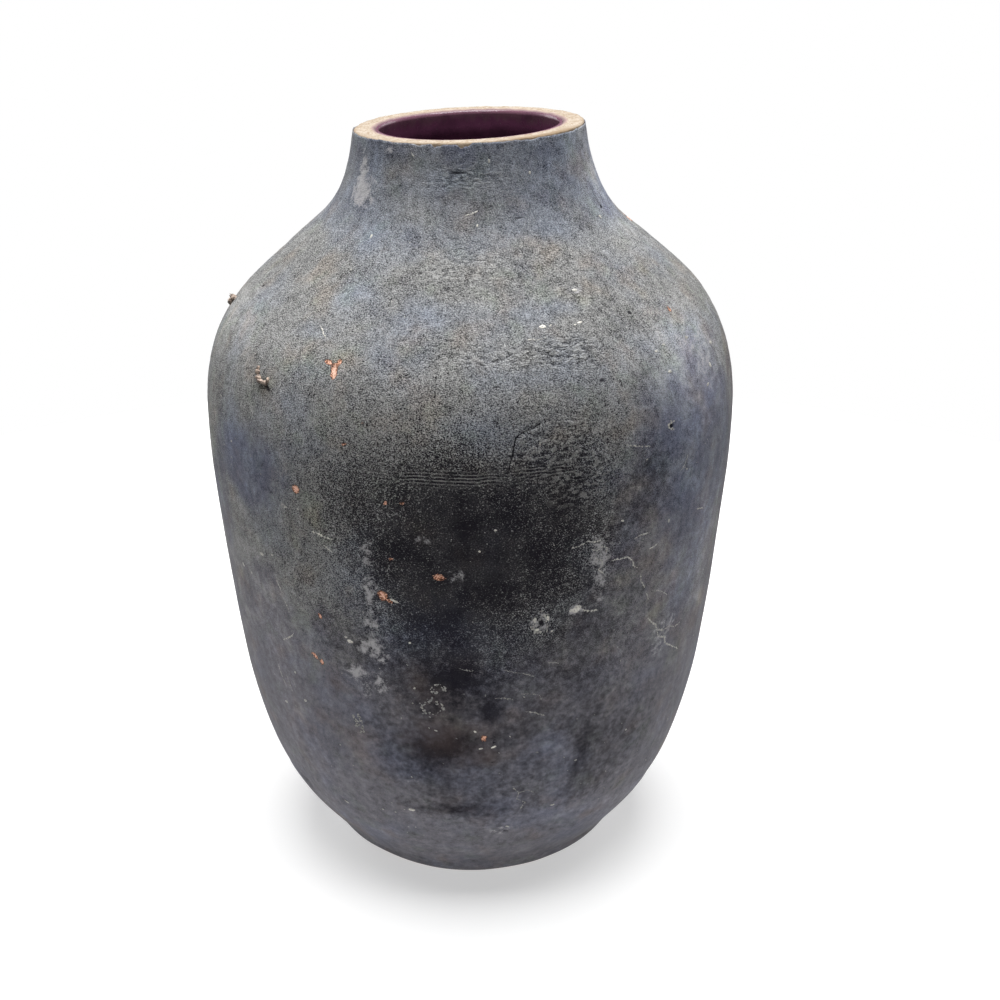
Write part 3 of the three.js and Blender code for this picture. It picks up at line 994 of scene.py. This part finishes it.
class Look:
    """A procedural material put together by short calls. Sizes are millimetres."""

    def __init__(self, name):
        self.material = bpy.data.materials.new(name)
        self.material.use_nodes = True
        self.nodes = self.material.node_tree.nodes
        self.surface = self.nodes["Principled BSDF"]
        self.place = self.nodes.new("ShaderNodeTexCoord").outputs["Object"]

    def feed(self, socket, value):
        """Joins a socket to another node's output, or sets it to a number or a colour."""
        if isinstance(value, bpy.types.NodeSocket):
            self.material.node_tree.links.new(value, socket)
        elif isinstance(value, tuple):
            socket.default_value = (*value, 1)
        else:
            socket.default_value = value

    def maths(self, operation, *values, clamp=False):
        node = self.nodes.new("ShaderNodeMath")
        node.operation = operation
        node.use_clamp = clamp
        for socket, value in zip(node.inputs, values):
            self.feed(socket, value)
        return node.outputs["Value"]

    def blend(self, value, gain, offset, clamp=False):
        """The value times the gain plus the offset."""
        return self.maths("MULTIPLY_ADD", value, gain, offset, clamp=clamp)

    def fade(self, value, low, high, start=0.0, end=1.0):
        node = self.nodes.new("ShaderNodeMapRange")
        node.interpolation_type = "SMOOTHSTEP"
        self.feed(node.inputs["Value"], value)
        node.inputs["From Min"].default_value = low
        node.inputs["From Max"].default_value = high
        node.inputs["To Min"].default_value = start
        node.inputs["To Max"].default_value = end
        return node.outputs["Result"]

    def noise(self, size, detail=2.0, roughness=0.5, stretch=(1, 1, 1), warp=0.0):
        node = self.nodes.new("ShaderNodeTexNoise")
        node.inputs["Scale"].default_value = 1 / (size * MM)
        node.inputs["Detail"].default_value = detail
        node.inputs["Roughness"].default_value = roughness
        node.inputs["Distortion"].default_value = warp
        self.feed(node.inputs["Vector"], self.stretched(stretch))
        return node.outputs["Fac"]

    def cells(self, size):
        """Distance to the nearest of many scattered points."""
        node = self.nodes.new("ShaderNodeTexVoronoi")
        node.inputs["Scale"].default_value = 1 / (size * MM)
        self.feed(node.inputs["Vector"], self.place)
        return node.outputs["Distance"]

    def stretched(self, stretch):
        if stretch == (1, 1, 1):
            return self.place
        node = self.nodes.new("ShaderNodeMapping")
        node.inputs["Scale"].default_value = stretch
        self.feed(node.inputs["Vector"], self.place)
        return node.outputs["Vector"]

    def up(self):
        """Height above the ground in millimetres."""
        node = self.nodes.new("ShaderNodeSeparateXYZ")
        self.feed(node.inputs["Vector"], self.place)
        return self.maths("DIVIDE", node.outputs["Z"], MM)

    def field(self, name):
        node = self.nodes.new("ShaderNodeAttribute")
        node.attribute_name = name
        return node.outputs["Fac"]

    def mix(self, factor, first, second):
        node = self.nodes.new("ShaderNodeMix")
        node.data_type = "RGBA"
        self.feed(node.inputs["Factor"], factor)
        self.feed(node.inputs[6], first)
        self.feed(node.inputs[7], second)
        return node.outputs[2]

    def tint(self, factor, colour, tint):
        """The colour, partly multiplied by the tint."""
        product = self.mix(factor, colour, tint)
        product.node.blend_type = "MULTIPLY"
        return product

    def scaled(self, colour, factor):
        node = self.nodes.new("ShaderNodeVectorMath")
        node.operation = "SCALE"
        self.feed(node.inputs[0], colour)
        self.feed(node.inputs["Scale"], factor)
        return node.outputs["Vector"]

    def bump(self, height, distance, strength=1.0, below=None):
        node = self.nodes.new("ShaderNodeBump")
        node.inputs["Distance"].default_value = distance * MM
        self.feed(node.inputs["Strength"], strength)
        self.feed(node.inputs["Height"], height)
        if below is not None:
            self.feed(node.inputs["Normal"], below)
        return node.outputs["Normal"]

    def finish(self, colour, roughness, normal, gloss=0.5):
        self.feed(self.surface.inputs["Base Color"], colour)
        self.feed(self.surface.inputs["Roughness"], roughness)
        self.feed(self.surface.inputs["Normal"], normal)
        self.feed(self.surface.inputs["Specular IOR Level"], gloss)
        return self.material


SLIP_GREY = (0.134, 0.13, 0.147)
SLIP_WARM = (0.185, 0.185, 0.183)
BLUE_TINT = (0.84, 0.95, 1.18)
BROWN_TINT = (1.07, 0.98, 0.9)
GREEN_TINT = (0.98, 1.03, 0.95)
# Pale sand, also used for painted highlights on fold ridges, score ribs and grain tops.
SAND_AND_HIGHLIGHT_PALE = (0.39, 0.39, 0.375)
# Sooty black, also used for painted shade in creases, grooves and on the dark front.
SOOT_AND_SHADE_BLACK = (0.0046, 0.0034, 0.0082)
FILM_BLUE = (0.12, 0.16, 0.3)
ASH = (0.4, 0.392, 0.4)
CLAY_DARK = (0.24, 0.08, 0.04)
CLAY_MIDDLE = (0.62, 0.29, 0.17)
CLAY_LIGHT = (0.9, 0.6, 0.47)
STAIN_BROWN = (0.075, 0.05, 0.043)


def coat_look():
    look = Look("dark_slip")
    sand = look.field("sand")
    cool = look.field("cool")
    grain = look.noise(0.55, detail=2, roughness=0.6, stretch=(0.85, 0.85, 1.2))
    grit = look.noise(3.2, detail=3, roughness=0.6)
    mottle = look.noise(15, detail=4, roughness=0.6)
    brushing = look.noise(3.4, detail=3, stretch=(1, 1, 0.16))
    folds = look.noise(1.6, detail=2, stretch=(0.55, 0.55, 1.15), warp=0.5)
    centred = look.blend(grain, 1.0, -0.5)
    ragged = look.blend(grit, 1.0, -0.5)

    # The slip itself: smooth grey, or warmer with grains standing up where it is sandy.
    colour = look.mix(look.fade(look.blend(sand, 0.35, mottle), 0.42, 0.8), SLIP_GREY, SLIP_WARM)
    colour = look.tint(look.blend(cool, 0.9, 0.0), colour, BLUE_TINT)
    colour = look.tint(look.fade(look.noise(19, detail=4), 0.5, 0.72), colour, BROWN_TINT)
    colour = look.tint(look.fade(look.noise(13, detail=4), 0.52, 0.72), colour, GREEN_TINT)
    patches = look.blend(look.blend(mottle, 1.0, -0.5), 0.9, look.blend(ragged, 1.5, 1.0))
    colour = look.scaled(colour, look.maths("MULTIPLY_ADD", centred, look.blend(sand, 2.9, 1.9), patches))
    colour = look.scaled(colour, look.blend(brushing, 0.5, 0.75))
    # The tone carries painted light on the shoulder's turn and a painted highlight along the trimmed edge.
    colour = look.scaled(colour, look.blend(look.field("tone"), 1.0, 1.0))
    # Pale sand on the grains' tops, partly painted highlight.
    sand_tops_and_highlights = look.maths("MULTIPLY", look.fade(grain, 0.57, 0.72), look.blend(sand, 0.5, 0.1))
    colour = look.mix(sand_tops_and_highlights, colour, SAND_AND_HIGHLIGHT_PALE)

    # Soot, with painted shade on the broad dark front, lies between the grains, so it covers the pits first.
    pits = look.maths("MULTIPLY", look.blend(centred, -1.0, 0.0), look.blend(sand, 4.2, 0.9))
    soot_and_shade = look.maths("MULTIPLY_ADD", look.field("soot_and_shade"), 2.1, look.blend(ragged, -1.2, pits))
    cover = look.blend(soot_and_shade, 1.0, -0.38, clamp=True)
    thick = look.maths("MULTIPLY", cover, look.fade(mottle, 0.35, 0.62, 0.98, 0.88))
    colour = look.mix(thick, colour, SOOT_AND_SHADE_BLACK)
    colour = look.mix(look.blend(cool, 0.03, 0.0), colour, FILM_BLUE)
    # Pale flecks on the grains' tops, also on the black, partly painted glints.
    colour = look.mix(look.fade(grain, 0.55, 0.72, 0.0, 0.06), colour, SAND_AND_HIGHLIGHT_PALE)

    # Folds get painted shade in their hollows and a painted highlight on their ridges.
    painted_crease_shade = look.maths("MULTIPLY", look.fade(folds, 0.47, 0.4), look.field("wrinkle"))
    colour = look.mix(look.blend(painted_crease_shade, 0.5, 0.0), colour, SOOT_AND_SHADE_BLACK)
    painted_ridge_highlight = look.maths("MULTIPLY", look.fade(folds, 0.52, 0.6), look.field("wrinkle"))
    colour = look.mix(look.blend(painted_ridge_highlight, 0.35, 0.0), colour, SAND_AND_HIGHLIGHT_PALE)

    # Thin pale film, brown stains and pits.
    filmed = look.field("haze")
    patchy = look.maths("MULTIPLY_ADD", ragged, 2.6, look.blend(centred, 1.0, 0.0))
    patchy = look.maths("MULTIPLY", patchy, look.fade(filmed, 0.05, 0.4))
    film = look.fade(look.maths("ADD", filmed, patchy), 0.3, 1.1, 0.0, 0.9)
    colour = look.mix(film, colour, ASH)
    stain = look.fade(look.maths("MULTIPLY_ADD", mottle, 1.2, look.field("stain")), 0.75, 1.35, 0.0, 0.35)
    colour = look.mix(stain, colour, STAIN_BROWN)
    hole = look.fade(look.maths("ADD", centred, look.field("pit")), 0.35, 0.7, 0.0, 0.95)
    colour = look.mix(hole, colour, SOOT_AND_SHADE_BLACK)

    # The upright crack, and the scored lines with painted shade in their grooves and a painted highlight on
    # their ribs.
    split = look.maths("ABSOLUTE", look.blend(centred, 0.9, look.blend(ragged, 0.7, look.field("crack"))))
    open_crack = look.fade(split, 0.1, 0.34, 1.0, 0.0)
    colour = look.mix(open_crack, colour, SOOT_AND_SHADE_BLACK)
    wander = look.maths("MULTIPLY_ADD", look.noise(14, stretch=(1, 1, 0.3)), 3.0, look.up())
    waves = look.maths("SINE", look.maths("MULTIPLY", wander, 2 * math.pi / 1.5))
    broken = look.maths("MULTIPLY", look.field("score"), look.fade(look.noise(6, detail=3), 0.32, 0.52))
    groove_with_shade = look.maths("MULTIPLY", broken, look.fade(waves, 0.0, -0.8))
    rib_with_highlight = look.maths("MULTIPLY", broken, look.fade(waves, 0.2, 0.95))
    # Painted shade in the score grooves and a painted highlight on their ribs.
    colour = look.mix(look.blend(groove_with_shade, 0.85, 0.0, clamp=True), colour, SOOT_AND_SHADE_BLACK)
    colour = look.mix(look.blend(rib_with_highlight, 0.6, 0.0, clamp=True), colour, SAND_AND_HIGHLIGHT_PALE)

    # Bare clay where the slip has flaked off, with a dark edge and a paler, crumbled middle.
    chip = look.field("chip")
    torn = look.blend(ragged, 1.8, look.blend(centred, 2.0, 0.0))
    flake = look.maths("MULTIPLY_ADD", torn, look.fade(chip, 0.1, 0.4), chip)
    clay = look.mix(look.fade(flake, 0.48, 0.75), CLAY_DARK, CLAY_MIDDLE)
    clay = look.mix(look.fade(look.blend(centred, 1.5, flake), 0.7, 1.05), clay, CLAY_LIGHT)
    clay = look.mix(look.fade(grain, 0.44, 0.36, 0.0, 0.7), clay, CLAY_DARK)
    colour = look.mix(look.fade(flake, 0.24, 0.42, 0.0, 0.6), colour, SOOT_AND_SHADE_BLACK)
    colour = look.mix(look.fade(flake, 0.4, 0.56), colour, clay)

    normal = look.bump(grain, 0.5, look.blend(sand, 0.8, 0.25))
    normal = look.bump(folds, 1.8, look.field("wrinkle"), normal)
    normal = look.bump(look.maths("SUBTRACT", rib_with_highlight, groove_with_shade), 0.4, 1.0, normal)
    normal = look.bump(open_crack, -0.6, 1.0, normal)
    normal = look.bump(brushing, 0.35, 0.4, normal)
    return look.finish(colour, look.fade(grit, 0.3, 0.7, 0.62, 0.85), normal, 0.1)


def lip_look():
    look = Look("bare_lip_clay")
    grain = look.noise(1.2, detail=3, roughness=0.65)
    mottle = look.noise(5, detail=3)
    colour = look.mix(look.fade(mottle, 0.3, 0.7), (0.31, 0.255, 0.195), (0.39, 0.34, 0.28))
    colour = look.mix(look.fade(grain, 0.38, 0.54, 0.85, 0.0), colour, (0.21, 0.145, 0.09))
    toast = look.fade(look.blend(grain, 1.4, look.field("toast")), 0.8, 1.5, 0.0, 0.75)
    colour = look.mix(toast, colour, (0.17, 0.11, 0.055))
    inward = look.blend(look.blend(mottle, 1.0, -0.5), 0.5, look.field("inward"))
    colour = look.mix(look.fade(inward, 0.2, 0.65), colour, (0.27, 0.19, 0.175))
    colour = look.mix(look.fade(inward, 0.45, 1.0), colour, (0.13, 0.085, 0.093))
    normal = look.bump(grain, 0.35, 0.7)
    return look.finish(colour, look.fade(look.field("inward"), 0.5, 1.0, 0.85, 0.6), normal, 0.3)


def glaze_look():
    look = Look("aubergine_glaze")
    mottle = look.noise(9, detail=3)
    streaks = look.noise(4, detail=3, stretch=(1, 1, 0.2))
    depth = look.blend(look.blend(streaks, 1.0, -0.5), 0.5, look.field("below"))
    colour = look.mix(look.fade(depth, 0.13, 0.34), (0.18, 0.085, 0.12), (0.17, 0.055, 0.115))
    colour = look.mix(look.fade(mottle, 0.42, 0.75, 0.0, 0.6), colour, (0.085, 0.026, 0.058))
    bubbles = look.fade(look.cells(2.2), 0.04, 0.12, 0.6, 0.0)
    colour = look.mix(bubbles, colour, (0.3, 0.27, 0.26))
    normal = look.bump(mottle, 0.5, 0.4)
    normal = look.bump(streaks, 0.3, 0.3, normal)
    return look.finish(colour, look.fade(mottle, 0.3, 0.7, 0.16, 0.34), normal, 0.5)


def clay_look(name, light, dark):
    """Bare fired clay with sand in it and smoke on it."""
    look = Look(name)
    grain = look.noise(0.9, detail=3, roughness=0.65)
    grit = look.noise(4, detail=3)
    smoke = look.noise(38, detail=4, roughness=0.6)
    colour = look.mix(look.fade(grit, 0.3, 0.7), light, dark)
    colour = look.mix(look.fade(grain, 0.3, 0.45, 0.5, 0.0), colour, (0.09, 0.055, 0.04))
    colour = look.mix(look.fade(smoke, 0.42, 0.66, 0.0, 0.7), colour, (0.07, 0.062, 0.06))
    colour = look.mix(look.fade(look.cells(3.6), 0.1, 0.2, 0.7, 0.0), colour, (0.6, 0.55, 0.46))
    normal = look.bump(grain, 0.35, 0.8)
    normal = look.bump(grit, 0.9, 0.5, normal)
    return look.finish(colour, look.fade(grit, 0.3, 0.7, 0.8, 0.95), normal, 0.3)


def ash_look():
    """Pale mineral crust, from a thin grey film to thick cream."""
    look = Look("ash_crust")
    grain = look.noise(0.7, detail=3)
    grit = look.noise(2.5, detail=2)
    colour = look.mix(look.field("pale"), (0.15, 0.153, 0.16), (0.85, 0.82, 0.74))
    colour = look.mix(look.fade(grain, 0.33, 0.48, 0.5, 0.0), colour, (0.07, 0.07, 0.07))
    colour = look.mix(look.fade(grit, 0.5, 0.8, 0.0, 0.4), colour, (0.3, 0.26, 0.2))
    normal = look.bump(grain, 0.3, 0.8)
    return look.finish(colour, 0.85, normal, 0.3)


def crumb_look():
    look = Look("fused_kiln_sand")
    grain = look.noise(0.8, detail=3)
    patches = look.noise(2.4, detail=3)
    colour = look.mix(look.fade(patches, 0.35, 0.65), (0.16, 0.125, 0.105), (0.5, 0.39, 0.32))
    colour = look.mix(look.fade(grain, 0.35, 0.48, 0.7, 0.0), colour, (0.04, 0.035, 0.03))
    colour = look.mix(look.fade(look.cells(1.4), 0.12, 0.25, 0.8, 0.0), colour, (0.6, 0.5, 0.42))
    normal = look.bump(grain, 0.5, 0.9)
    normal = look.bump(patches, 1.0, 0.6, normal)
    return look.finish(colour, look.fade(patches, 0.3, 0.7, 0.55, 0.9), normal, 0.4)


def floor_look():
    look = Look("studio_floor")
    colour = look.mix(look.noise(60), (0.6, 0.6, 0.6), (0.62, 0.62, 0.62))
    look.surface.inputs["Emission Color"].default_value = (1, 1, 1, 1)
    look.surface.inputs["Emission Strength"].default_value = 0.5
    return look.finish(colour, 0.9, look.bump(look.noise(5), 0.05, 0.2), 0.2)


# --- camera, light and floor ------------------------------------------------------------------------------

CAMERA_PLACE = Vector((0.0, -0.740, 0.490))
CAMERA_PITCH = math.radians(22.81)
CAMERA_YAW = math.radians(1.135)
CAMERA_LENS = 55.98


def add_camera():
    camera = bpy.data.cameras.new("camera")
    camera.lens = CAMERA_LENS
    camera.sensor_width = 36.0
    holder = bpy.data.objects.new("camera", camera)
    holder.location = CAMERA_PLACE
    holder.rotation_euler = (math.pi / 2 - CAMERA_PITCH, 0, -CAMERA_YAW)
    bpy.context.scene.collection.objects.link(holder)
    bpy.context.scene.camera = holder


def add_softbox(name, centre, target, width, tall, power):
    light = bpy.data.lights.new(name, "AREA")
    light.shape = "RECTANGLE"
    light.size = width
    light.size_y = tall
    light.energy = power
    holder = bpy.data.objects.new(name, light)
    holder.location = centre
    direction = Vector(target) - Vector(centre)
    holder.rotation_euler = direction.to_track_quat("-Z", "Y").to_euler()
    bpy.context.scene.collection.objects.link(holder)


def add_world(seen, lighting):
    """A white backdrop as the camera sees it, which lights the jar less than it shows."""
    world = bpy.data.worlds.new("studio")
    world.use_nodes = True
    nodes = world.node_tree.nodes
    links = world.node_tree.links
    nodes.clear()
    path = nodes.new("ShaderNodeLightPath")
    mix = nodes.new("ShaderNodeMixShader")
    output = nodes.new("ShaderNodeOutputWorld")
    for socket, strength in ((1, lighting), (2, seen)):
        background = nodes.new("ShaderNodeBackground")
        background.inputs["Color"].default_value = (1, 1, 1, 1)
        background.inputs["Strength"].default_value = strength
        links.new(background.outputs["Background"], mix.inputs[socket])
    links.new(path.outputs["Is Camera Ray"], mix.inputs["Fac"])
    links.new(mix.outputs["Shader"], output.inputs["Surface"])
    bpy.context.scene.world = world


def add_floor():
    """A round pale table top, small enough to stay evenly lit to its edge."""
    corners = 96
    radius = 0.72
    angles = np.arange(corners) * 2 * math.pi / corners
    mesh = bpy.data.meshes.new("floor")
    edge = np.stack([radius * np.cos(angles), radius * np.sin(angles), 0 * angles], axis=-1)
    mesh.from_pydata(edge.tolist(), [], [list(range(corners))])
    mesh.materials.append(floor_look())
    floor = bpy.data.objects.new("floor", mesh)
    bpy.context.scene.collection.objects.link(floor)


# --- putting it together ------------------------------------------------------------------------------------


def finish_piece(piece, look, slot, *nodes):
    piece.data.materials.append(look)
    if nodes:
        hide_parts(*nodes)


clay = clay_look("fired_clay", (0.5, 0.26, 0.18), (0.38, 0.19, 0.13))
joint_slip = clay_look("joint_slip", (0.34, 0.23, 0.17), (0.27, 0.18, 0.13))
kiln_sand = crumb_look()

finish_piece(outer_coat(), coat_look(), "coat", "outer_slip")
finish_piece(lip(), lip_look(), "lip_clay", "rim_coil")
finish_piece(lining(), glaze_look(), "glaze", "inner_glaze")
finish_piece(slab(), clay, "clay", "base_slab")
finish_piece(wall_section("lower_section", 0, 1), clay, "clay", "lower_wall")
finish_piece(wall_section("upper_section", 1, 2), clay, "clay", "upper_wall")
finish_piece(lute("base_slip", 0), joint_slip, "joint_slip", "base_lute")
finish_piece(lute("belly_slip", 1), joint_slip, "joint_slip", "belly_lute")
finish_piece(lute("neck_slip", 2), joint_slip, "joint_slip", "neck_lute")
finish_piece(crumb("shoulder_crumb", SHOULDER_CRUMB), kiln_sand, "sand", "kiln_crumb_shoulder")
finish_piece(crumb("belly_crumb", BELLY_CRUMB), kiln_sand, "sand", "kiln_crumb_belly")
finish_piece(ash_marks(), ash_look(), "sand")

add_camera()
add_floor()
add_world(1.0, 0.02)
add_softbox("top", (0, 0, 1.5), (0, 0, 0), 1.2, 1.2, 45)
add_softbox("back_left", (-0.9, 0.8, 0.5), (0, 0, 0.2), 0.8, 1.0, 6)
add_softbox("back_right", (0.9, 0.8, 0.5), (0, 0, 0.2), 0.8, 1.0, 5)

bpy.context.scene.view_settings.view_transform = "Standard"
